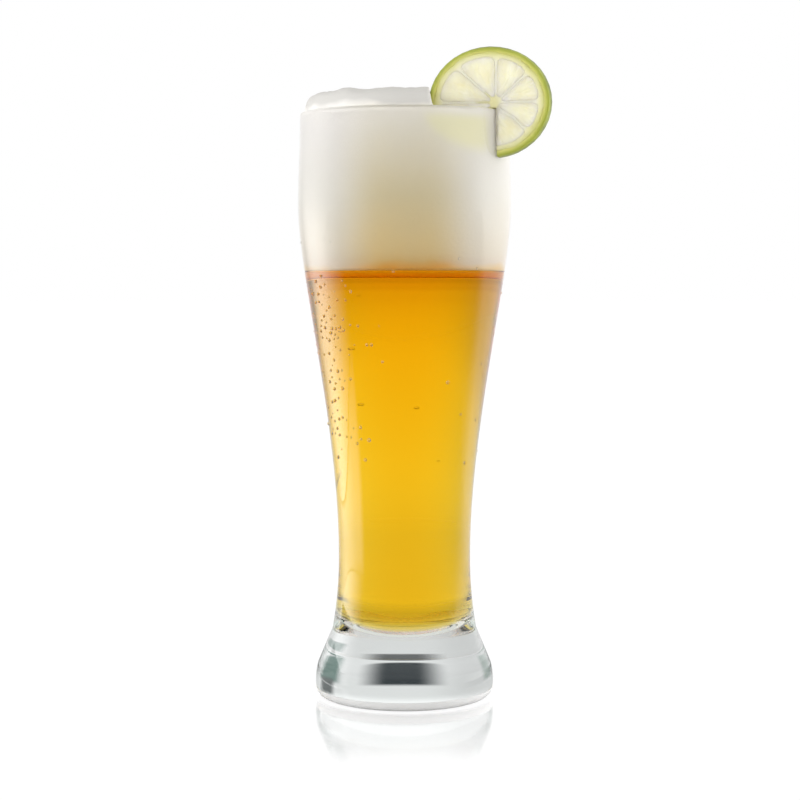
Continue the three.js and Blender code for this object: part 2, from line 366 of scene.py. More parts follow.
clear_glass, tree, shader = material_named("clear_glass")
slant = node(tree, "ShaderNodeLayerWeight").outputs["Facing"]
past_limit = reckon(tree, "GREATER_THAN", slant, 1 - math.sqrt(1 - 1 / GLASS_IOR ** 2))
from_inside = node(tree, "ShaderNodeNewGeometry").outputs["Backfacing"]
turned_back = product(tree, past_limit, from_inside)
no_gloss = reckon(tree, "SUBTRACT", painted_value(tree, "wet"), turned_back, use_clamp=True)
clear_finish(tree, shader, GLASS_IOR, gloss=ramp(tree, no_gloss, [(0.0, WHITE), (1.0, BLACK)]))
absorbing(tree, GLASS_TINT, GLASS_DENSITY)
print("glass turns light back past", round(math.degrees(math.asin(1 / GLASS_IOR)), 1), "degrees")

# %% Glass piece
LIP_STEPS = 12
HOLLOW_DEPTH = 3 * MM
HOLLOW_RADIUS = 26.5 * MM
HOLLOW_FLAT = 26.2 * MM

lip = []
for step in range(1, LIP_STEPS):
    angle = math.pi * step / LIP_STEPS
    radius = RIM_RADIUS - RIM_WALL / 2 + RIM_WALL / 2 * math.cos(angle)
    lip.append((radius, LIP_HEIGHT + RIM_WALL / 2 * math.sin(angle)))

hollow = [(0, HOLLOW_DEPTH)]
hollow += bend(hollow[-1], (HOLLOW_FLAT, HOLLOW_DEPTH))
hollow += bend(hollow[-1], (HOLLOW_RADIUS, HOLLOW_DEPTH), (HOLLOW_RADIUS, 0))
past_hollow = [point for point in outside if point[0] > HOLLOW_RADIUS or point[1] > HOLLOW_DEPTH]

glass = turned("glass_vessel", hollow + past_hollow + lip + inside[::-1], clear_glass)

# %% Where the drink wets the glass
BEER_LEVEL = 150 * MM
FOAM_CONTACT = 8 * MM


def radius_at(line, height):
    """Radius of a rising line at a height."""
    return float(np.interp(height, [point[1] for point in line], [point[0] for point in line]))


def corners_of(mesh, what="co"):
    """The places or the normals of a mesh's corners, one row each."""
    values = np.empty(len(mesh.vertices) * 3)
    mesh.vertices.foreach_get(what, values)
    return values.reshape(-1, 3)


def paint(mesh, name, values):
    """Gives each corner of a mesh a value, which a finish or a tree can read."""
    mesh.attributes.new(name, "FLOAT", "POINT").data.foreach_set("value", values)


wetted = []
for x, y, z in corners_of(glass.data):
    within = math.hypot(x, y) < radius_at(inside, z) + RIM_WALL / 2
    wetted.append(float(within and BASE_THICKNESS - RIM_WALL / 2 < z <= BEER_LEVEL + FOAM_CONTACT))
paint(glass.data, "wet", wetted)
print("the drink wets", round(sum(wetted)), "of", len(wetted), "corners of the glass")
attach(glass, "filled_glass")
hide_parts("glass_body")

# %% [markdown]
# ## The ring that it stands on
# Pressed glasses have a stippled ring under the foot: many tiny bumps that keep it from sliding and that
# look frosted. Modelling the bumps would cost many faces for a line a few millimetres tall. A thin pale
# skin over the edge of the foot gives their look, and its rough finish scatters the light as they do. It
# shows only from outside: seen through the clear foot, it would be a hard pale line.

# %% Helpers for the ring
HALF_A_BOUNCE = 0.5


def offset_line(line, distance):
    """A line that starts on the axis, moved outwards square to itself."""
    moved = []
    for index, (radius, height) in enumerate(line):
        before = line[max(index - 1, 0)]
        after = line[min(index + 1, len(line) - 1)]
        along = Vector((after[0] - before[0], after[1] - before[1])).normalized()
        if radius == 0:
            moved.append((0, height - distance))
        else:
            moved.append((radius + along.y * distance, height - along.x * distance))
    return moved


def grouped(tree, group, **values):
    """The outputs of a shader group that is placed in a material with its own values."""
    return node(tree, "ShaderNodeGroup", values, node_tree=group).outputs


def relief(tree, height, strength, depth):
    """Fine relief that only the finish has."""
    feeds = {"Strength": strength, "Distance": depth, "Height": height}
    return node(tree, "ShaderNodeBump", feeds).outputs["Normal"]


def light_path(tree):
    """What kind of ray sees a point, and what it went through before."""
    return node(tree, "ShaderNodeLightPath").outputs


def still_none(tree, count):
    """1 where a count of bounces is 0, and 0 where it is more."""
    return reckon(tree, "LESS_THAN", count, HALF_A_BOUNCE)


# %% Stippled ring
STIPPLE_TOP = 3.7 * MM
STIPPLE_SKIN = 0.06 * MM
STIPPLE_GAP = 0.02 * MM

stipple, tree, shader = material_named("stippled_glass")
stipple_uneven = grouped(tree, mottle, Scale=900.0, Fine=3.0)
feed(tree, shader, {
    "Base Color": (0.64, 0.64, 0.635, 1.0),
    "Roughness": 0.6,
    "Alpha": still_none(tree, light_path(tree)["Transmission Depth"]),
    "Normal": relief(tree, stipple_uneven["Grain"], strength=0.4, depth=0.1 * MM),
})

edge = [point for point in outside if STANDING_RADIUS - WELD <= point[0] and point[1] <= STIPPLE_TOP]
skin = offset_line(edge, STIPPLE_SKIN) + offset_line(edge, STIPPLE_GAP)[::-1]
ring = turned("stippled_ring", skin + skin[:1], stipple)
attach(ring, "filled_glass")

# %% [markdown]
# ## Beer
# Beer is clear too, and its amber deepens with the way that light travels in it, so it is also made with
# absorption: blue goes first, then green. The drink runs a hair into the wall, because an air gap between
# the two would mirror light that in a real glass goes straight through. Under the foam the beer looks
# darker, because the froth holds the light off: this shade is painted into the beer's colour over its top.

# %% Beer finish
BEER_IOR = 1.34
BEER_TINT = (0.982, 0.862, 0.06)
BEER_DENSITY = 110.0
SHADE_DEPTH = 17 * MM


def parts_of(tree, vector):
    """A vector's parts, named X, Y and Z."""
    return node(tree, "ShaderNodeSeparateXYZ", {"Vector": vector}).outputs


def height_share(tree, low, high):
    """How far up the object a point is: 0 at the low height and 1 at the high one."""
    feeds = {"Value": parts_of(tree, object_place(tree))["Z"], "From Min": low, "From Max": high}
    return node(tree, "ShaderNodeMapRange", feeds).outputs["Result"]


amber, tree, shader = material_named("beer")
depth = height_share(tree, BEER_LEVEL - SHADE_DEPTH, BEER_LEVEL)
# Painted shade: the beer's colour darkens towards its top, under the foam.
beer_top_shade_stops = [
    (0.0, (1.0, 1.0, 1.0)),
    (0.3, (0.985, 0.97, 0.95)),
    (0.55, (0.95, 0.9, 0.85)),
    (0.7, (0.94, 0.88, 0.83)),
    (0.78, (0.84, 0.69, 0.57)),
    (0.85, (0.87, 0.72, 0.58)),
    (0.93, (0.79, 0.67, 0.66)),
    (1.0, (0.62, 0.45, 0.52)),
]
clear_finish(tree, shader, BEER_IOR, colour=ramp(tree, depth, beer_top_shade_stops), gloss=BLACK)
absorbing(tree, BEER_TINT, BEER_DENSITY)
print("beer is shaded over its top", round(SHADE_DEPTH / MM), "mm")

# %% Beer piece
WALL_OVERLAP = 0.2 * MM

fill = offset_line(inside, WALL_OVERLAP)
beer_line = [point for point in fill if point[1] < BEER_LEVEL]
beer_line += [(radius_at(fill, BEER_LEVEL), BEER_LEVEL)]
beer_line += bend(beer_line[-1], (0, BEER_LEVEL))

beer = turned("beer_fill", beer_line, amber)
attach(beer, "filled_glass")
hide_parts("beer")

# %% [markdown]
# ## Where the slice of lime sits
# The slice stands upright on the rim, turned a little towards the viewer. Foam and lime both need its
# frame: one axis along the slice, one square to it, and the middle of the oval.

# %% The slice's frame
LIME_WIDTH = 42 * MM
LIME_HEIGHT = 37.6 * MM
LIME_THICKNESS = 4.6 * MM
CORE_SHIFT = 2.4 * MM
CORE_ABOVE_RIM = 2.2 * MM
LIME_BEARING = math.radians(28)
LIME_TURN = math.radians(12)

slice_along = Vector((math.cos(LIME_TURN), -math.sin(LIME_TURN), 0))
slice_back = Vector((math.sin(LIME_TURN), math.cos(LIME_TURN), 0))
seat_radius = RIM_RADIUS - RIM_WALL / 2
seat = Vector((math.cos(LIME_BEARING), -math.sin(LIME_BEARING), 0)) * seat_radius
slice_middle = seat - slice_along * CORE_SHIFT + Vector((0, 0, GLASS_HEIGHT + CORE_ABOVE_RIM))


def slice_place(points):
    """Points in the slice's own frame: along it, square to it and away from the viewer, and up."""
    frame_rows = np.array([slice_along, slice_back, (0, 0, 1)])
    return (points - np.array(slice_middle)) @ frame_rows.T


# %% [markdown]
# ## Foam
# The head fills the glass above the beer and stands proud of the rim in soft lumps. The slice has been
# pushed into it, so it has a pocket for the slice, and in front of the slice it ends level with the rim.
# On the wall there, the slice's pale yellow is painted onto the foam, as if the slice shone through it. The
# head could be sculpted. But it has one height over each point of a round grid, so the grid is made in
# code: rows of points up the wall, and then rings across the top to the middle.

# %% Crown of the foam
CROWN_HEIGHT = 6.8 * MM
CROWN_SHOULDER = 5 * MM
CROWN_DOME = 0.6 * MM
LUMP_SIZE = 9 * MM
LUMP_HEIGHT = 1.0 * MM
BUMP_SIZE = 3 * MM
BUMP_HEIGHT = 0.3 * MM
FOAM_OVERLAP = 0.1 * MM

foam_wall = offset_line(inside, FOAM_OVERLAP)
crown_top = GLASS_HEIGHT + CROWN_HEIGHT
crown_radius = radius_at(foam_wall, LIP_HEIGHT)


def ease(values, low, high):
    """Rises smoothly from 0 at low to 1 at high."""
    share = np.clip((values - low) / (high - low), 0, 1)
    return share * share * (3 - 2 * share)


def noise_at(points, size):
    """Smooth noise from -1 to 1 whose lumps are about this size."""
    return np.array([noise.noise(Vector(point) / size) for point in points])


def crown_height(points):
    """The top of the head with no slice in it."""
    reach = np.hypot(points[:, 0], points[:, 1])
    inwards = np.clip((crown_radius - reach) / CROWN_SHOULDER, 0, None)
    rise = 1 - np.sqrt(np.clip(inwards, 0, 1))
    shoulder = crown_top - CROWN_DOME - (crown_top - CROWN_DOME - LIP_HEIGHT) * rise ** 2
    dome = CROWN_DOME * (1 - (reach / (crown_radius - CROWN_SHOULDER)) ** 2)
    smooth = np.where(inwards < 1, shoulder, crown_top - CROWN_DOME + dome)
    lumps = noise_at(points, LUMP_SIZE) * LUMP_HEIGHT + noise_at(points, BUMP_SIZE) * BUMP_HEIGHT
    return smooth + lumps * np.clip(inwards * 2, 0, 1)


print("crown is", round(crown_top / MM, 1), "mm up")

# %% Pocket for the slice
POCKET_END = 1 * MM
POCKET_GAP = 0.5 * MM
POCKET_SLOPE = 1.2 * MM
FRONT_BELOW_RIM = 0.3 * MM
WALL_FILM = 0.25 * MM
half_pocket = LIME_THICKNESS / 2 + POCKET_GAP


def pocket_height(along):
    """The floor of the pocket, which follows the slice's lower edge."""
    half_width = LIME_WIDTH / 2 + POCKET_GAP
    half_height = LIME_HEIGHT / 2 + POCKET_GAP
    return slice_middle.z - half_height * np.sqrt(np.clip(1 - (along / half_width) ** 2, 0, 1))


def foam_height(points):
    """The top of the foam, with the pocket, the lower front and a film over the slot at the wall."""
    local = slice_place(points)
    crown = crown_height(points)
    at_back = ease(local[:, 1], half_pocket, half_pocket + POCKET_SLOPE)
    off_wall = crown_radius - np.hypot(points[:, 0], points[:, 1])
    before = ease(-local[:, 1], half_pocket, half_pocket + POCKET_SLOPE)
    before = np.maximum(before, 1 - ease(off_wall, WALL_FILM, 2 * WALL_FILM))
    from_middle = np.abs(local[:, 0] + math.tan(LIME_TURN) * np.minimum(local[:, 1], 0))
    beyond_end = ease(from_middle, LIME_WIDTH / 2 - POCKET_END, LIME_WIDTH / 2 + POCKET_GAP)
    pocket = np.minimum(pocket_height(local[:, 0]), crown)
    cut_down = np.minimum(crown, np.maximum(pocket, GLASS_HEIGHT - FRONT_BELOW_RIM))
    front = pocket + (cut_down - pocket) * before
    front = front + (crown - front) * beyond_end
    return front + (crown - front) * at_back


print("pocket is", round((crown_top - pocket_height(0.0)) / MM, 1), "mm deep")

# %% Where the slice's colour is painted on the foam
SHINE_FROM = 1.8 * MM
SHINE_TO = 2.4 * MM
SHINE_FADE = 6 * MM
RIM_BAND = 4 * MM


def painted_shine_share(points):
    """1 on the wall in front of the slice, where the slice's colour is painted on the foam as if it shone
    through, fading to 0 around it.
    """
    local = slice_place(points)
    reach = np.hypot(points[:, 0], points[:, 1])
    wall_gap = np.array([radius_at(foam_wall, min(z, LIP_HEIGHT)) for z in points[:, 2]]) - reach
    in_front = ease(-local[:, 1], half_pocket, half_pocket + SHINE_FADE)
    beside = 1 - ease(np.abs(local[:, 0]), LIME_WIDTH / 2 - SHINE_FADE, LIME_WIDTH / 2)
    above = ease(points[:, 2] - pocket_height(local[:, 0]), 0, SHINE_FADE)
    near_wall = 1 - ease(wall_gap, SHINE_FROM, SHINE_TO)
    below_rim = 1 - ease(points[:, 2], LIP_HEIGHT - RIM_BAND, LIP_HEIGHT)
    return in_front * beside * above * near_wall * below_rim


# %% Foam mesh
SPOKES = 256
WALL_ROWS = 56
TOP_RINGS = 120
FLOOR_RINGS = 6
RING_CROWDING = 1.8
FOAM_SINKS = 0.05 * MM
FOAM_FLOOR = BEER_LEVEL - FOAM_SINKS
FLOOR_EDGE = 0.2 * MM


def closed_rows(name, rows, bottom, top, material):
    """A closed mesh from rings of points, listed from the bottom pole to the top pole."""
    count, spokes = rows.shape[:2]
    points = [bottom, *rows.reshape(-1, 3), top]
    faces = []
    for spoke in range(spokes):
        turn = (spoke + 1) % spokes
        faces.append((0, 1 + turn, 1 + spoke))
        for row in range(count - 1):
            here = 1 + row * spokes
            above = here + spokes
            faces.append((here + spoke, here + turn, above + turn, above + spoke))
        last = 1 + (count - 1) * spokes
        faces.append((last + spoke, last + turn, len(points) - 1))
    mesh = bpy.data.meshes.new(name)
    mesh.from_pydata([tuple(point) for point in points], [], faces)
    mesh.polygons.foreach_set("use_smooth", [True] * len(faces))
    mesh.materials.append(material)
    return placed(name, mesh)


def foam_rows():
    angles = np.arange(SPOKES) * 2 * math.pi / SPOKES
    spokes = np.stack([np.cos(angles), np.sin(angles), np.zeros(SPOKES)], axis=1)
    rows = []
    floor_radius = radius_at(foam_wall, FOAM_FLOOR)
    for count in range(1, FLOOR_RINGS):
        rows.append(spokes * floor_radius * count / FLOOR_RINGS + (0, 0, FOAM_FLOOR))
    rows.append(spokes * (floor_radius - FLOOR_EDGE) + (0, 0, FOAM_FLOOR))
    wall_top = np.minimum(foam_height(spokes * crown_radius), LIP_HEIGHT)
    for row in range(WALL_ROWS + 1):
        heights = FOAM_FLOOR + (wall_top - FOAM_FLOOR) * row / WALL_ROWS
        radii = np.array([radius_at(foam_wall, height) for height in heights])
        rows.append(spokes * radii[:, None] + heights[:, None] * np.array([0, 0, 1]))
    for count in range(1, TOP_RINGS):
        reach = crown_radius * (1 - (count / TOP_RINGS) ** RING_CROWDING)
        flat = spokes * reach
        flat[:, 2] = foam_height(flat)
        rows.append(flat)
    return np.array(rows)


# %% Foam finish
UNDERSIDE_PAINTED_LIGHT = (0.98, 0.86, 0.6, 1.0)
PAINTED_SHINE_THROUGH = (0.855, 0.83, 0.63, 1.0)
SIDE_FROM = 7 * MM
SIDE_TO = 25 * MM
WANDER = 0.12

# Up the foam: orange near the beer, partly the wet foam's own colour and partly painted light from the
# beer; greyer at the very top of the crown, painted shade.
shaded_middle_stops = [
    (0.07, (0.8, 0.44, 0.1)),
    (0.115, (0.76, 0.58, 0.27)),
    (0.16, (0.77, 0.63, 0.35)),
    (0.46, (0.72, 0.65, 0.47)),
    (0.87, (0.84, 0.81, 0.74)),
    (0.94, (0.85, 0.82, 0.76)),
    (0.97, (0.63, 0.615, 0.58)),
]
lit_side_stops = [
    (0.06, (0.8, 0.6, 0.3)),
    (0.1, (0.76, 0.69, 0.59)),
    (0.15, (0.76, 0.71, 0.62)),
    (0.46, (0.775, 0.755, 0.71)),
    (0.87, (0.84, 0.82, 0.8)),
    (0.94, (0.85, 0.83, 0.8)),
    (0.97, (0.63, 0.615, 0.585)),
]


def fade(tree, value, start, end, before, after):
    """Goes smoothly from one level to another between two values."""
    feeds = {"Value": value, "From Min": start, "From Max": end, "To Min": before, "To Max": after}
    return node(tree, "ShaderNodeMapRange", feeds, interpolation_type="SMOOTHSTEP").outputs["Result"]


def blend_colours(tree, share, first, second):
    """A colour between two others."""
    feeds = {"Factor": share, "A": first, "B": second}
    return node(tree, "ShaderNodeMix", feeds, data_type="RGBA").outputs["Result"]


froth, tree, shader = material_named("foam")
uneven = grouped(tree, mottle, Scale=60.0, Fine=14.0)
share = height_share(tree, BEER_LEVEL, crown_top)
wander = reckon(tree, "MULTIPLY_ADD", uneven["Cloud"], WANDER, share)
# Painted light: the foam is painted paler and cooler towards its left and right sides, where the side
# lights fall, and warmer and darker in the middle, front and back, where less light falls.
off_middle = reckon(tree, "ABSOLUTE", parts_of(tree, object_place(tree))["X"])
painted_side_light = fade(tree, off_middle, SIDE_FROM, SIDE_TO, 0.0, 1.0)
froth_colour = blend_colours(tree, painted_side_light, ramp(tree, wander, shaded_middle_stops), ramp(tree, wander, lit_side_stops))
# Painted light: in front of the slice the foam is painted the slice's pale yellow, as if it shone through.
froth_colour = blend_colours(tree, painted_value(tree, "film"), froth_colour, PAINTED_SHINE_THROUGH)
# Painted light: the underside of the foam, lit only through the beer, is painted paler.
froth_colour = blend_colours(tree, painted_value(tree, "lit_underside"), froth_colour, UNDERSIDE_PAINTED_LIGHT)
feed(tree, shader, {
    "Base Color": froth_colour,
    "Roughness": 0.85,
    "Specular IOR Level": 0.2,
    "Normal": relief(tree, uneven["Grain"], strength=0.25, depth=0.2 * MM),
})
print("foam finish has", len(tree.nodes), "nodes")

# %% Foam piece
pole = np.array([[0.0, 0.0, 0.0]])
foam = closed_rows("foam_crown", foam_rows(), (0, 0, FOAM_FLOOR), (0, 0, foam_height(pole)[0]), froth)
places = corners_of(foam.data)
# The film value marks where the slice's colour is painted on the foam.
paint(foam.data, "film", painted_shine_share(places))
# The floor of the foam, inside its edge, gets the painted light of the underside.
on_floor = places[:, 2] < FOAM_FLOOR + WELD
inside_edge = np.hypot(places[:, 0], places[:, 1]) < radius_at(foam_wall, FOAM_FLOOR) - FLOOR_EDGE / 2
paint(foam.data, "lit_underside", (on_floor & inside_edge).astype(float))
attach(foam, "filled_glass")
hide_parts("foam_head")
print("foam has", len(foam.data.polygons), "faces")

# %% [markdown]
# ## Slice of lime
# A cut lime has a pored green peel, a pale pith that runs in as thin membranes to the core, and juicy
# sacs that point at the core. Modelling each sac by hand would take days. The measured solids are copied,
# given a fine even skin by a voxel remesh that also rounds their corners, and then carved in code.

# %% Fine copies of the measured solids
LIME_VOXEL = 0.2 * MM
ROUND_STEPS = 3
ROUND_FACTOR = 0.5


def fine_copy(node_name, piece_name, swell, material):
    """A copy of a CAD solid with an even skin, rounded corners, and a swelling that closes its gaps."""
    solid = bmesh.new()
    solid.from_mesh(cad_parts[node_name].data)
    bmesh.ops.remove_doubles(solid, verts=solid.verts, dist=WELD)
    mesh = bpy.data.meshes.new(piece_name)
    solid.to_mesh(mesh)
    solid.free()
    piece = placed(piece_name, mesh)
    even_skin = piece.modifiers.new("Even skin", "REMESH")
    even_skin.mode = "VOXEL"
    even_skin.voxel_size = LIME_VOXEL
    even_skin.use_smooth_shade = True
    soften = piece.modifiers.new("Round off", "SMOOTH")
    soften.factor = ROUND_FACTOR
    soften.iterations = ROUND_STEPS
    fill_gaps = piece.modifiers.new("Swell", "DISPLACE")
    fill_gaps.strength = swell
    fill_gaps.mid_level = 0
    plain_mesh(piece)
    piece.data.materials.clear()
    piece.data.materials.append(material)
    return piece


# %% Carving and pressing
WALL_SLANT = math.tan(LIME_BEARING - LIME_TURN)
PRESS_REACH = 4 * MM
PRESS_TOP = 1 * MM


def move_corners(mesh, places):
    mesh.vertices.foreach_set("co", places.ravel())
    mesh.update()


def carved(piece, depth_at):
    """Moves each point of a piece along its normal by a depth that depends on its place."""
    places = corners_of(piece.data)
    normals = corners_of(piece.data, "normal")
    move_corners(piece.data, places + normals * depth_at(places, normals)[:, None])


def pressed(piece):
    """Soft fruit gives way: outside the glass, the side of the slot leans on the slanting wall."""
    places = corners_of(piece.data)
    local = slice_place(places)
    lean = WALL_SLANT * (LIME_THICKNESS / 2 - local[:, 1])
    slot_side = CORE_SHIFT + WALL_SLANT * LIME_THICKNESS / 2
    near_slot = 1 - ease(local[:, 0], slot_side + RIM_WALL, slot_side + RIM_WALL + PRESS_REACH)
    outside_glass = ease(local[:, 0], CORE_SHIFT + RIM_WALL / 2, slot_side + RIM_WALL / 2)
    below = 1 - ease(local[:, 2], -CORE_ABOVE_RIM, PRESS_TOP)
    move_corners(piece.data, places - np.outer(lean * near_slot * outside_glass * below, slice_along))


def onto_slice(piece, node_name):
    pressed(piece)
    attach(piece, "lime_slice")
    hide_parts(node_name)
    print(piece.name, "has", len(piece.data.polygons), "faces")


# %% [markdown]
# ## Peel
# The peel is thin and green, yellower towards the pith, and pored by its oil glands. Its colour could be
# painted on. Here it follows how far out on the slice a point is, by a group that the pith shares, and
# the pores are real dimples, so that they also show in the outline and in an exported mesh.

# %% How far out on the slice
slice_reach = shader_group("Slice reach", {"Waver": 0.05}, ["Reach"])
reach_in = node(slice_reach, "NodeGroupInput").outputs
centred = node(slice_reach, "ShaderNodeMapping", {
    "Vector": object_place(slice_reach),
    "Location": slice_middle,
    "Rotation": (0, 0, -LIME_TURN),
    "Scale": (LIME_WIDTH / 2, LIME_WIDTH / 2, LIME_HEIGHT / 2),
}, vector_type="TEXTURE")
flat_feeds = {0: centred.outputs["Vector"], 1: (1, 0, 1)}
flattened = node(slice_reach, "ShaderNodeVectorMath", flat_feeds, operation="MULTIPLY")
length_feeds = {0: flattened.outputs["Vector"]}
from_core = node(slice_reach, "ShaderNodeVectorMath", length_feeds, operation="LENGTH").outputs["Value"]
clouds = grouped(slice_reach, mottle, Scale=150.0)
wavering = reckon(slice_reach, "MULTIPLY_ADD", clouds["Cloud"], reach_in["Waver"], from_core)
node(slice_reach, "NodeGroupOutput", {"Reach": wavering})
print("slice reach group has", len(slice_reach.nodes), "nodes")

# %% Peel finish
PEEL_SHARE = 0.9


def fruit_finish(tree, shader, colour, roughness, share, reach, normal):
    """A finish that lets a share of the light in, as far as it reaches in red, green and blue."""
    feed(tree, shader, {
        "Base Color": colour,
        "Roughness": roughness,
        "Subsurface Weight": share,
        "Subsurface Radius": reach,
        "Subsurface Scale": 1.0,
        "Normal": normal,
    })


peel, tree, shader = material_named("lime_peel")
peel_uneven = grouped(tree, mottle, Scale=150.0, Fine=8.0)
peel_reach = grouped(tree, slice_reach, Waver=0.05)["Reach"]
peel_stops = [
    (0.83, (0.72, 0.69, 0.22)),
    (0.865, (0.53, 0.55, 0.1)),
    (0.89, (0.38, 0.42, 0.05)),
    (0.91, (0.34, 0.38, 0.05)),
    (0.93, (0.17, 0.21, 0.04)),
]
fruit_finish(
    tree, shader,
    colour=ramp(tree, product(tree, peel_reach, PEEL_SHARE), peel_stops),
    roughness=0.4,
    share=0.2,
    reach=(2 * MM, 2 * MM, 1 * MM),
    normal=relief(tree, peel_uneven["Grain"], strength=0.3, depth=0.1 * MM),
)
print("peel finish has", len(tree.nodes), "nodes")

# %% Peel piece
PEEL_SWELL = 0.25 * MM
PORE_SIZE = 1.1 * MM
PORE_DEPTH = 0.12 * MM
PORE_WIDTH = 0.45


def across_slice(normals):
    """How squarely each point faces the front or the back of the slice: 1 on the cut faces."""
    return np.abs(normals @ np.array(slice_back))


def pore_depth(places, normals):
    """Dimples of the oil glands, on the outside and not on the cut faces."""
    cells = np.array([noise.voronoi(Vector(point) / PORE_SIZE)[0][0] for point in places])
    dimple = 1 - ease(cells, 0.0, PORE_WIDTH)
    return -PORE_DEPTH * dimple * (1 - across_slice(normals))


rind = fine_copy("lime_rind", "lime_peel_ring", PEEL_SWELL, peel)
carved(rind, pore_depth)
onto_slice(rind, "lime_rind")

# %% [markdown]
# ## Pith
# The pith is the dry pale layer under the peel, and thin webs of it part the segments. It could be one
# flat disc behind them. One solid with all its webs lets light into the segments from the side, as on
# the fruit. Its skin wavers a little, and its outer edge runs in under the peel, so that no gap shows.

# %% Pith finish
pith, tree, shader = material_named("lime_pith")
pith_uneven = grouped(tree, mottle, Scale=300.0, Fine=6.0)
pith_reach = grouped(tree, slice_reach, Waver=0.1)["Reach"]
pith_stops = [
    (0.2, (0.82, 0.77, 0.42)),
    (0.28, (0.96, 0.92, 0.7)),
    (0.8, (0.95, 0.91, 0.66)),
    (0.88, (0.88, 0.84, 0.46)),
    (0.95, (0.68, 0.67, 0.21)),
]
fruit_finish(
    tree, shader,
    colour=ramp(tree, pith_reach, pith_stops),
    roughness=0.5,
    share=0.4,
    reach=(3 * MM, 3 * MM, 1.5 * MM),
    normal=relief(tree, pith_uneven["Grain"], strength=0.3, depth=0.1 * MM),
)
print("pith finish has", len(tree.nodes), "nodes")

# %% Pith piece
PITH_SWELL = 0.3 * MM
PITH_WAVER = 0.1 * MM
PITH_GRAIN = 1.6 * MM
UNDER_PEEL = 0.6 * MM
PITH_EDGE_FROM = 0.82
PITH_EDGE_TO = 0.86


def pith_waver(places, normals):
    """A wavering skin, whose outer edge runs in under the peel."""
    local = slice_place(places)
    reach = np.hypot(local[:, 0] / LIME_WIDTH, local[:, 2] / LIME_HEIGHT) * 2
    outer_side = ease(reach, PITH_EDGE_FROM, PITH_EDGE_TO) * (1 - across_slice(normals))
    return noise_at(places, PITH_GRAIN) * PITH_WAVER + outer_side * UNDER_PEEL


web = fine_copy("lime_pith", "lime_pith_web", PITH_SWELL, pith)
carved(web, pith_waver)
onto_slice(web, "lime_pith")

# %% [markdown]
# ## Juicy segments
# Each segment is a bag of small sacs that all point at the core. They could be modelled one by one.
# Cells round the core give the same pattern: long outwards, narrow across, and parted by grooves that
# are carved into the cut faces.

# %% Pulp finish
PULP_IOR = 1.36

pulp, tree, shader = material_named("lime_pulp")
pulp_uneven = grouped(tree, mottle, Scale=220.0, Fine=5.0)
pulp_stops = [(0.3, (0.92, 0.85, 0.58)), (0.7, (1.0, 0.94, 0.73))]
fruit_finish(
    tree, shader,
    colour=ramp(tree, pulp_uneven["Cloud"], pulp_stops),
    roughness=0.25,
    share=0.6,
    reach=(4 * MM, 4 * MM, 2.5 * MM),
    normal=relief(tree, pulp_uneven["Grain"], strength=0.2, depth=0.1 * MM),
)
feed(tree, shader, {"IOR": PULP_IOR})
print("pulp finish has", len(tree.nodes), "nodes")

# %% Segments
SEGMENT_COUNT = 8
PULP_SWELL = 0.42 * MM
SAC_LENGTH = 5 * MM
SAC_ANGLE = 0.14
SAC_DEPTH = 0.18 * MM
SAC_LEVEL = 0.7
GROOVE_WIDTH = 0.35
CUT_FACE_FROM = 0.5
CUT_FACE_TO = 0.95


def sac_relief(places, normals):
    """Sacs that point at the core, parted by grooves."""
    local = slice_place(places)
    along = local[:, 0] - CORE_SHIFT
    up = local[:, 2] * LIME_WIDTH / LIME_HEIGHT
    reach = np.hypot(along, up) / SAC_LENGTH
    turn = np.arctan2(up, along) / SAC_ANGLE
    side = np.sign(local[:, 1]) * SEGMENT_COUNT
    grooves = []
    for spot in zip(reach, turn, side):
        near = noise.voronoi(Vector(spot))[0]
        grooves.append(near[1] - near[0])
    cut_face = ease(across_slice(normals), CUT_FACE_FROM, CUT_FACE_TO)
    return SAC_DEPTH * (ease(np.array(grooves), 0.0, GROOVE_WIDTH) - SAC_LEVEL) * cut_face


for number in range(1, SEGMENT_COUNT + 1):
    segment = fine_copy(f"lime_segment_{number}", f"lime_pulp_{number}", PULP_SWELL, pulp)
    carved(segment, sac_relief)
    onto_slice(segment, f"lime_segment_{number}")

# %% [markdown]
# ## Dew on the glass
# Cold beer draws dew, and here most of it stands on the left of the wall beside the beer. Placing each
# bead by hand would give a pattern. A tree scatters them over a copy of the outside instead, thicker
# where a painted value says so, with a fixed seed.

# %% The scattering tree
scatter, scatter_names = geometry_tree("Scattered beads", {
    "Density": "Float",
    "Spacing": "Float",
    "Smallest": "Float",
    "Largest": "Float",
    "Flatness": "Float",
    "Seed": "Int",
    "Material": "Material",
})
scatter_in = node(scatter, "NodeGroupInput").outputs
dew_share = node(scatter, "GeometryNodeInputNamedAttribute", {"Name": "wetness"}, data_type="FLOAT")
spots = node(scatter, "GeometryNodeDistributePointsOnFaces", {
    "Mesh": scatter_in["Geometry"],
    "Distance Min": scatter_in["Spacing"],
    "Density Max": scatter_in["Density"],
    "Density Factor": dew_share.outputs["Attribute"],
    "Seed": scatter_in["Seed"],
}, distribute_method="POISSON")
bead = node(scatter, "GeometryNodeMeshIcoSphere", {"Radius": 1.0, "Subdivisions": 2})
size_feeds = {2: scatter_in["Smallest"], 3: scatter_in["Largest"], "Seed": scatter_in["Seed"]}
bead_size = node(scatter, "FunctionNodeRandomValue", size_feeds, data_type="FLOAT").outputs[1]
bead_depth = reckon(scatter, "MULTIPLY", bead_size, scatter_in["Flatness"])
bead_scale = node(scatter, "ShaderNodeCombineXYZ", {"X": bead_size, "Y": bead_size, "Z": bead_depth})
beads_on = node(scatter, "GeometryNodeInstanceOnPoints", {
    "Points": spots.outputs["Points"],
    "Instance": bead.outputs["Mesh"],
    "Rotation": spots.outputs["Rotation"],
    "Scale": bead_scale.outputs["Vector"],
})
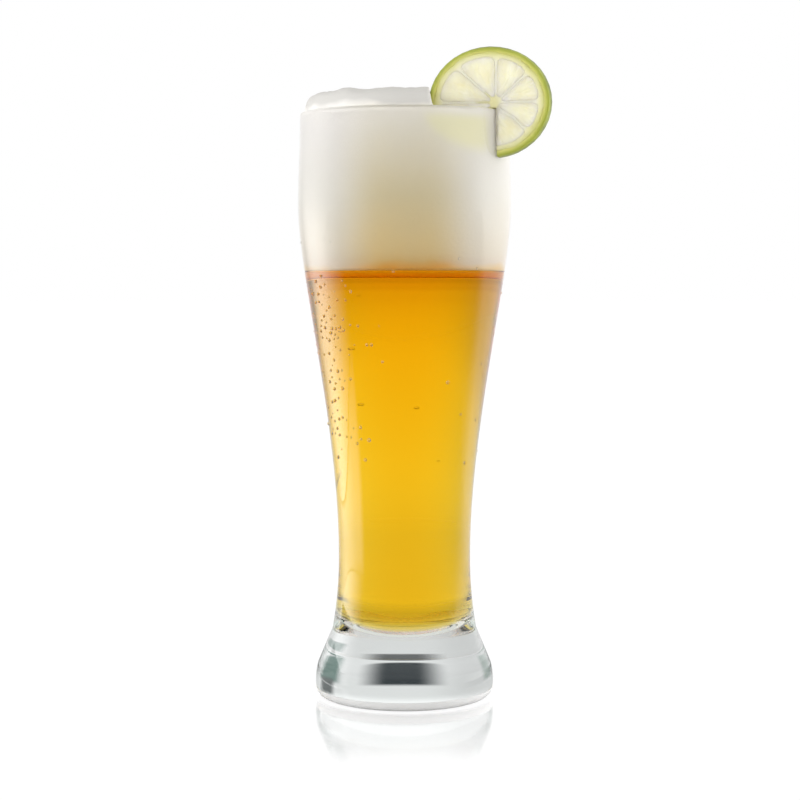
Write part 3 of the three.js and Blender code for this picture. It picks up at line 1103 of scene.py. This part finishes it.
finish_tree(scatter, beads_on.outputs["Instances"], scatter_in["Material"])
print("scattering tree has", len(scatter.nodes), "nodes")

# %% Where dew stands
DEW_SIDES = 96
DEW_TOP = 165 * MM
DEW_THINS = 143 * MM
DEW_FULL = 100 * MM
DEW_BOTTOM = 78 * MM
DEW_BEARING = math.radians(215)
DEW_SPREAD = math.radians(18)
DEW_SPARSE = 0.03

wall_line = [point for point in outside if DEW_BOTTOM < point[1] < DEW_TOP]
mesh = bpy.data.meshes.new("dew_beads")
angles = np.arange(DEW_SIDES) * 2 * math.pi / DEW_SIDES
points = []
for radius, height in wall_line:
    points += [(radius * math.cos(angle), radius * math.sin(angle), height) for angle in angles]
faces = []
for row in range(len(wall_line) - 1):
    here = row * DEW_SIDES
    for side in range(DEW_SIDES):
        turn = (side + 1) % DEW_SIDES
        faces.append((here + side, here + turn, here + DEW_SIDES + turn, here + DEW_SIDES + side))
mesh.from_pydata(points, [], faces)
places = np.array(points)
bearing = np.arctan2(places[:, 1], places[:, 0]) % (2 * math.pi)
patch = np.exp(-((bearing - DEW_BEARING) / DEW_SPREAD) ** 2)
patch *= ease(places[:, 2], DEW_BOTTOM, DEW_FULL) * (1 - ease(places[:, 2], DEW_THINS, BEER_LEVEL))
paint(mesh, "wetness", np.clip(patch + DEW_SPARSE, 0, 1))
print("dew may stand on", len(faces), "faces of the wall")

# %% Dew
WATER_IOR = 1.33

dew, tree, shader = material_named("dew")
clear_finish(tree, shader, WATER_IOR)

beads = grown("dew_beads", mesh, scatter, scatter_names, {
    "Density": 120000.0,
    "Spacing": 1.5 * MM,
    "Smallest": 0.28 * MM,
    "Largest": 0.7 * MM,
    "Flatness": 0.8,
    "Seed": 5,
    "Material": dew,
})
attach(beads, "filled_glass")

# %% [markdown]
# ## World
# A studio for glass has a white backdrop and soft light from all round. In a plain white world the glass
# would all but vanish, because its edges show only by what they bend into view. So what shows straight
# in gloss or through glass is graded: darker above, towards the left and, in reflections, on the viewer's
# side. The light that falls on things is even all round, and stronger from low down than from above.

# %% World
LOW_LIGHT = 1.5
TOP_LIGHT = 0.5
HORIZON_GLOW = 1.05
UPPER_GLOW = 0.78
GLOW_FADES_FROM = 0.06
GLOW_FADES_TO = 0.14
LEFT_GLOW = 0.8
LEFT_FROM = -0.65
LEFT_TO = -0.1
FRONT_FROM = -0.3
FRONT_TO = 0.2
FRONT_BRIGHT = 0.6
STRAIGHT_FROM = 0.93
STRAIGHT_TO = 0.96


def sight(tree, rays):
    """1 for what shows straight in gloss or through glass, and 0 for light that falls on things."""
    either = reckon(tree, "MAXIMUM", rays["Is Glossy Ray"], rays["Is Transmission Ray"])
    return product(tree, either, still_none(tree, rays["Diffuse Depth"]))


def blend_values(tree, share, low, high):
    """A value between two others."""
    feeds = {"Value": share, "To Min": low, "To Max": high}
    return node(tree, "ShaderNodeMapRange", feeds).outputs["Result"]


def left_dimmer(tree, sideways):
    """The backdrop is a little darker towards the left."""
    return fade(tree, sideways, LEFT_FROM, LEFT_TO, LEFT_GLOW, 1.0)


world = bpy.data.worlds.new("white_studio")
bpy.context.scene.world = world
world.use_nodes = True
tree = world.node_tree
way = parts_of(tree, node(tree, "ShaderNodeTexCoord").outputs["Generated"])
rays = light_path(tree)
shown = sight(tree, rays)
upper = fade(tree, way["Z"], GLOW_FADES_FROM, GLOW_FADES_TO, HORIZON_GLOW, UPPER_GLOW)
front_share = product(tree, fade(tree, way["Y"], FRONT_FROM, FRONT_TO, 1.0, 0.0), rays["Is Reflection Ray"])
front_rise = fade(tree, way["Z"], 0.0, FRONT_BRIGHT, 0.0, 1.0)
front_dimmer = blend_values(tree, front_share, 1.0, front_rise)
view_glow = product(tree, upper, left_dimmer(tree, way["X"]), front_dimmer)
dome = blend_values(tree, way["Z"], LOW_LIGHT, TOP_LIGHT)
level = blend_values(tree, shown, dome, view_glow)
straight_back = fade(tree, way["Y"], STRAIGHT_FROM, STRAIGHT_TO, 0.0, 1.0)
no_glass = still_none(tree, rays["Transmission Depth"])
in_floor = product(tree, straight_back, no_glass, rays["Is Reflection Ray"], shown)
level = blend_values(tree, in_floor, level, 1.0)
level = blend_values(tree, rays["Is Camera Ray"], level, 1.0)
feed(tree, tree.nodes["Background"], {"Color": WHITE, "Strength": level})
print("world made")

# %% [markdown]
# ## Floor
# The glass stands on a white table that mirrors it faintly. The picture's white comes from the table as
# the camera, gloss and glass see it, not from more light on the object. A white plane would do for the
# camera. The glass needs more: on the viewer's side the table is dark to reflections, as if a black
# cloth lay there, so that no white veil lies on the wall.

# %% Glow of the floor
CAMERA_WHITE = 1.04
FLOOR_GLOW = 0.82
OPEN_RADIUS = 170 * MM
FAR_RADIUS = 0.7
NEAR_GLOW = 0.7
NEAR_FROM = 28 * MM
NEAR_TO = 46 * MM
CONTACT_GLOW = 0.88
CONTACT_FROM = 35 * MM
CONTACT_TO = 65 * MM
EYE_HEIGHT = 0.15
STEEP_GLOW = 0.92
STEEP_ANGLE = 0.3
FLAT_ANGLE = 0.02


def mixed(tree, share, first, second):
    """A mix of two shaders."""
    return node(tree, "ShaderNodeMixShader", {0: share, 1: first, 2: second}).outputs[0]


def glowing(tree, strength, colour=WHITE):
    return node(tree, "ShaderNodeEmission", {"Color": colour, "Strength": strength}).outputs[0]


floor_paint, tree, shader = material_named("white_table")
feed(tree, shader, {"Base Color": (0.85, 0.85, 0.85, 1.0), "Roughness": 0.6, "Specular IOR Level": 0.2})
place = object_place(tree)
away = node(tree, "ShaderNodeVectorMath", {0: place}, operation="LENGTH").outputs["Value"]
spot = parts_of(tree, place)
rays = light_path(tree)
shown = sight(tree, rays)
by_camera = rays["Is Camera Ray"]

near = fade(tree, away, NEAR_FROM, NEAR_TO, NEAR_GLOW, 1.0)
far = fade(tree, away, OPEN_RADIUS, FAR_RADIUS, FLOOR_GLOW, 1.0)
contact = fade(tree, away, CONTACT_FROM, CONTACT_TO, CONTACT_GLOW, 1.0)
lift = blend_values(tree, by_camera, blend_values(tree, shown, 0.0, product(tree, near, far)), contact)

steepness = reckon(tree, "DIVIDE", EYE_HEIGHT, away)
far_white = fade(tree, steepness, FLAT_ANGLE, STEEP_ANGLE, HORIZON_GLOW, STEEP_GLOW)
far_white = product(tree, far_white, left_dimmer(tree, reckon(tree, "DIVIDE", spot["X"], away)))
white_glow = glowing(tree, blend_values(tree, by_camera, far_white, CAMERA_WHITE))
lit = mixed(tree, lift, shader.outputs[0], white_glow)
print("floor glows with", FLOOR_GLOW, "near the glass")

# %% Dark side and mirror of the floor
CLOTH_BLACK = 0.004
CLOTH_FROM = 0.0
CLOTH_TO = 0.25
MIRROR = 0.52
MIRROR_THROUGH = 0.9
MIRROR_TINT_THROUGH = 0.87
MIRROR_FADES_FROM = 60 * MM
MIRROR_FADES_TO = 110 * MM
MIRROR_BLUR = 0.08
MIRROR_BLUR_THROUGH = 0.03
UNDER_FOOT = 30 * MM
BESIDE_FOOT = 36 * MM


def surfaced(tree, surface):
    """Makes a shader the surface of its material."""
    tree.links.new(surface, tree.nodes["Material Output"].inputs["Surface"])


viewers_side = fade(tree, spot["Y"], CLOTH_FROM, CLOTH_TO, 1.0, 0.0)
cloth_share = product(tree, viewers_side, rays["Is Reflection Ray"], shown)
lit = mixed(tree, cloth_share, lit, glowing(tree, CLOTH_BLACK))

mirror = node(tree, "ShaderNodeBsdfGlossy", {
    "Color": blend_values(tree, shown, 1.0, MIRROR_TINT_THROUGH),
    "Roughness": blend_values(tree, shown, MIRROR_BLUR, MIRROR_BLUR_THROUGH),
})
uncovered = fade(tree, away, UNDER_FOOT, BESIDE_FOOT, 0.0, 1.0)
near_foot = fade(tree, away, MIRROR_FADES_FROM, MIRROR_FADES_TO, 1.0, 0.0)
mirror_share = product(tree, uncovered, near_foot, blend_values(tree, shown, MIRROR, MIRROR_THROUGH))
surfaced(tree, mixed(tree, mirror_share, lit, mirror.outputs[0]))
print("floor finish has", len(tree.nodes), "nodes")

# %% Floor piece
FLOOR_SIZE = 20.0
FLOOR_DROP = 0.2 * MM


def flat_mesh(name, corners, material):
    """One flat face."""
    mesh = bpy.data.meshes.new(name)
    mesh.from_pydata([tuple(corner) for corner in corners], [], [tuple(range(len(corners)))])
    mesh.materials.append(material)
    return placed(name, mesh)


half_floor = FLOOR_SIZE / 2
floor_corners = [(-half_floor, -half_floor), (half_floor, -half_floor)]
floor_corners += [(half_floor, half_floor), (-half_floor, half_floor)]
floor = flat_mesh("floor", [(x, y, -FLOOR_DROP) for x, y in floor_corners], floor_paint)
print("floor is", FLOOR_SIZE, "m wide")

# %% [markdown]
# ## Soft boxes
# Two large soft lights, one on each side, model the foam and the lime. Lamps could do that, but they
# would also show in the glass. Here the cards that light surfaces show nowhere, and other cards, which
# light nothing, give the long highlights on the wall. So each can be set by itself.


# %% Helpers for cards
def around(bearing, reach, height):
    """A point at a bearing from the viewer's side, towards the right, at a distance from the axis."""
    angle = math.radians(bearing)
    return Vector((math.sin(angle) * reach, -math.cos(angle) * reach, height))


def upright(bearing, reach, width, low, high):
    """Corners of an upright card that faces the glass."""
    centre = around(bearing, reach, 0)
    sideways = Vector((centre.y, -centre.x, 0)).normalized() * width / 2
    sides = [centre - sideways, centre + sideways, centre + sideways, centre - sideways]
    return [side + Vector((0, 0, height)) for side, height in zip(sides, [low, low, high, high])]


def soft_card(name, corners, from_side, from_end):
    """A flat card with a mask that fades from these shares of its half width and half height."""
    material, tree = material_named(name)[:2]
    uv_place = node(tree, "ShaderNodeTexCoord").outputs["UV"]
    middle_feeds = {0: uv_place, 1: (2, 2, 0), 2: (-1, -1, 0)}
    from_middle = node(tree, "ShaderNodeVectorMath", middle_feeds, operation="MULTIPLY_ADD")
    distance_feeds = {0: from_middle.outputs["Vector"]}
    distance = node(tree, "ShaderNodeVectorMath", distance_feeds, operation="ABSOLUTE")
    parts = parts_of(tree, distance.outputs["Vector"])
    across = fade(tree, parts["X"], from_side, 1.0, 1.0, 0.0)
    upwards = fade(tree, parts["Y"], from_end, 1.0, 1.0, 0.0)
    card = flat_mesh(name, corners, material)
    uv = card.data.uv_layers.new(name="UVMap")
    uv.data.foreach_set("uv", [0, 0, 1, 0, 1, 1, 0, 1])
    card.visible_camera = False
    return card, tree, product(tree, across, upwards)


def clear(tree):
    return node(tree, "ShaderNodeBsdfTransparent").outputs[0]


def add_glow(tree, strength):
    """The card glows and holds no light off."""
    both = node(tree, "ShaderNodeAddShader", {0: glowing(tree, strength), 1: clear(tree)})
    surfaced(tree, both.outputs[0])


# %% Lights
BOX_REACH = 0.38
BOX_END = 0.6


def light_card(name, corners, strength):
    """A soft box that lights surfaces and shows nowhere."""
    tree, mask = soft_card(name, corners, 0.0, BOX_END)[1:]
    shown = sight(tree, light_path(tree))
    add_glow(tree, product(tree, mask, blend_values(tree, shown, strength, 0.0)))
    print(name, "lights with", strength)


left_box = upright(bearing=-74, reach=BOX_REACH, width=0.6, low=0.0, high=0.5)
light_card("left_light", left_box, strength=1.8)
right_box = upright(bearing=100, reach=BOX_REACH, width=0.6, low=0.0, high=0.55)
light_card("right_light", right_box, strength=3.2)

# %% Highlights on the wall
GLOSS_BEARING = -107
GLOSS_HIGH = 0.27
GLOSS_END = 0.3
GLOSS_HALF = 0.29
NEAR_REACH = 0.12
NEAR_HALF = 0.1
NEAR_END = 0.9
ABOVE_FLOOR = 0.1 * MM


def descent(tree):
    """How steeply a ray comes down on the card: above 0 from above, below 0 from below."""
    return parts_of(tree, node(tree, "ShaderNodeNewGeometry").outputs["Incoming"])["Z"]


def gloss_card(name, corners, strength, from_end, from_above=-1.0):
    """A card that shows only as a highlight, to rays that come down at least this steeply."""
    card, tree, mask = soft_card(name, corners, 0.0, from_end)
    card.visible_diffuse = False
    rays = light_path(tree)
    no_glass = still_none(tree, rays["Transmission Depth"])
    above = reckon(tree, "GREATER_THAN", descent(tree), from_above)
    shown = sight(tree, rays)
    add_glow(tree, product(tree, mask, shown, rays["Is Reflection Ray"], no_glass, above, strength))
    print(name, "shows with", strength)


left_corners = upright(GLOSS_BEARING, BOX_REACH, 2 * GLOSS_HALF, -GLOSS_HIGH, GLOSS_HIGH)
gloss_card("left_gloss", left_corners, strength=3.3, from_end=GLOSS_END)
right_corners = upright(bearing=109, reach=BOX_REACH, width=0.6, low=-GLOSS_HIGH, high=GLOSS_HIGH)
gloss_card("right_gloss", right_corners, strength=0.15, from_end=GLOSS_END)

left_far = around(GLOSS_BEARING, BOX_REACH, ABOVE_FLOOR)
left_near = around(GLOSS_BEARING, NEAR_REACH, ABOVE_FLOOR)
left_side = Vector((left_far.y, -left_far.x, 0)).normalized()
floor_card = [left_far - left_side * GLOSS_HALF, left_far + left_side * GLOSS_HALF]
floor_card += [left_near + left_side * NEAR_HALF, left_near - left_side * NEAR_HALF]
gloss_card("left_gloss_mirrored", floor_card, strength=2.5, from_end=NEAR_END, from_above=0.0)

# %% [markdown]
# ## Dark cards
# Photographers give clear glass its edges with black cards just outside the picture. These stand behind
# the glass and beside it, and the heavy foot bends them into view as dark bands. They hold no light off.
# Each shows in one way only: through glass, in its outer reflections, or in the inner ones.

# %% Helper for dark cards
FACE_ON = 0.6


def dark_card(name, corners, colour, from_side, from_end, seen="through"):
    """A card that holds no light off: it shows through glass, in outer reflections, or in inner ones."""
    card, tree, mask = soft_card(name, corners, from_side, from_end)
    card.visible_diffuse = False
    card.visible_shadow = False
    rays = light_path(tree)
    reflected = rays["Is Reflection Ray"]
    outer = still_none(tree, rays["Transmission Depth"])
    rising = reckon(tree, "LESS_THAN", descent(tree), 0.0)
    slant = node(tree, "ShaderNodeLayerWeight").outputs["Facing"]
    face_on = reckon(tree, "LESS_THAN", slant, FACE_ON)
    kinds = {
        "through": product(tree, blend_values(tree, reflected, 1.0, 0.0), rising),
        "outer": product(tree, reflected, outer, face_on),
        "mirrored": product(tree, reflected, blend_values(tree, outer, 1.0, 0.0)),
    }
    share = product(tree, mask, sight(tree, rays), kinds[seen])
    surfaced(tree, mixed(tree, share, clear(tree), glowing(tree, 1.0, (*colour, 1.0))))
    print(name, "made, seen", seen)


# %% Dark cards behind and beside the glass
BACK_AWAY = 3.0
CARD_STEP = 0.05
FLAG_AWAY = 73 * MM
FLAG_TALL = 30 * MM
TEAL = (0.17, 0.25, 0.225)
PALE_TEAL = (0.34, 0.4, 0.37)
strip_away = BACK_AWAY + CARD_STEP
teal_away = strip_away + CARD_STEP


def behind(low, high, away, left=-1.19, right=1.31):
    """Corners of an upright card square to the view, behind the glass."""
    return [(left, away, low), (right, away, low), (right, away, high), (left, away, high)]


band = behind(low=0.64, high=1.34, away=BACK_AWAY)
dark_card("back_card", band, (0.006, 0.014, 0.02), from_side=0.25, from_end=0.75)
strip = behind(low=0.22, high=1.06, away=strip_away)
dark_card("strip_card", strip, (0.004, 0.008, 0.01), from_side=0.25, from_end=0.75, seen="mirrored")
right_edge = upright(bearing=130, reach=BACK_AWAY, width=2.0, low=0.6, high=1.6)
dark_card("right_back_card", right_edge, TEAL, from_side=0.5, from_end=0.75)
right_inner = upright(bearing=130, reach=teal_away, width=2.0, low=0.74, high=1.6)
dark_card("right_back_mirrored", right_inner, TEAL, from_side=0.5, from_end=0.75, seen="mirrored")
left_edge = upright(bearing=-116, reach=BACK_AWAY, width=1.6, low=0.6, high=1.6)
dark_card("left_back_card", left_edge, PALE_TEAL, from_side=0.4, from_end=0.75)
leaf = upright(bearing=134, reach=0.3, width=0.14, low=0.025, high=0.085)
dark_card("leaf_card", leaf, (0.12, 0.13, 0.13), from_side=0.5, from_end=0.5)
flag = upright(bearing=-91, reach=FLAG_AWAY, width=0.07, low=0.0, high=FLAG_TALL)
dark_card("foot_flag", flag, (0.02, 0.03, 0.03), from_side=0.6, from_end=0.9, seen="outer")

# %% [markdown]
# ## Camera
# The camera stands level with the top of the beer and looks slightly down. Its distance and lens come
# from the photograph: the rim is seen from just below and the foot from above.

# %% Camera
CAMERA_AWAY = 680 * MM
CAMERA_UP = 148.3 * MM
CAMERA_PITCH = math.radians(3.689)
CAMERA_YAW = math.radians(0.133)
CAMERA_LENS = 87.17
SENSOR_WIDTH = 36.0
GLASS_BOUNCES = 24

camera_data = bpy.data.cameras.new("camera")
camera_data.lens = CAMERA_LENS
camera_data.sensor_width = SENSOR_WIDTH
camera = bpy.data.objects.new("camera", camera_data)
camera.location = (0, -CAMERA_AWAY, CAMERA_UP)
camera.rotation_euler = (math.pi / 2 - CAMERA_PITCH, 0, CAMERA_YAW)
scene = bpy.context.scene
scene.collection.objects.link(camera)
scene.camera = camera
scene.view_settings.view_transform = "Standard"
scene.cycles.blur_glossy = 0.0
scene.cycles.max_bounces = GLASS_BOUNCES
scene.cycles.transmission_bounces = GLASS_BOUNCES
scene.cycles.glossy_bounces = GLASS_BOUNCES
print("camera looks down by", round(math.degrees(CAMERA_PITCH), 2), "degrees")
